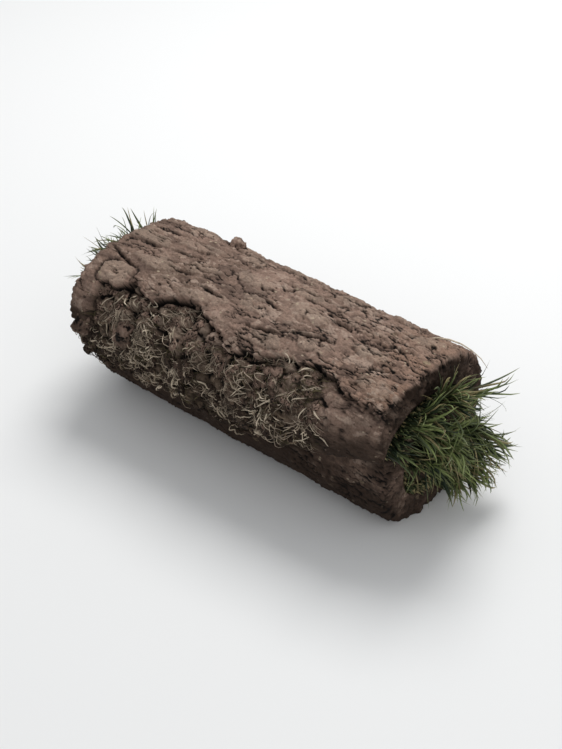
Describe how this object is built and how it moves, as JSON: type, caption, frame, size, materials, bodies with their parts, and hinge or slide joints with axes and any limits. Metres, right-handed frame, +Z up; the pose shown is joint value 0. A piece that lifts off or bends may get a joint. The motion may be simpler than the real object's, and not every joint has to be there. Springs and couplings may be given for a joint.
{
  "type": "roll of turf",
  "caption": "Small roll of turf lying on its side: a thick strip of cut soil wound with its grass inside, torn outer edge along one side, grass tufts past both ends",
  "frame": {"origin": "middle of the roll's box, on the surface that the roll lies on", "axes": "+X along the roll, towards the end where the grass shows best; -Y is the side with the strip's torn outer end; +Z up"},
  "size_m": [0.393, 0.1572, 0.1458],
  "materials": {
    "soil": "matte",
    "grass_green": "matte"
  },
  "bodies": {
    "root": {"soil_mat": "soil", "grass": "grass_green"}
  },
  "joints": []
}
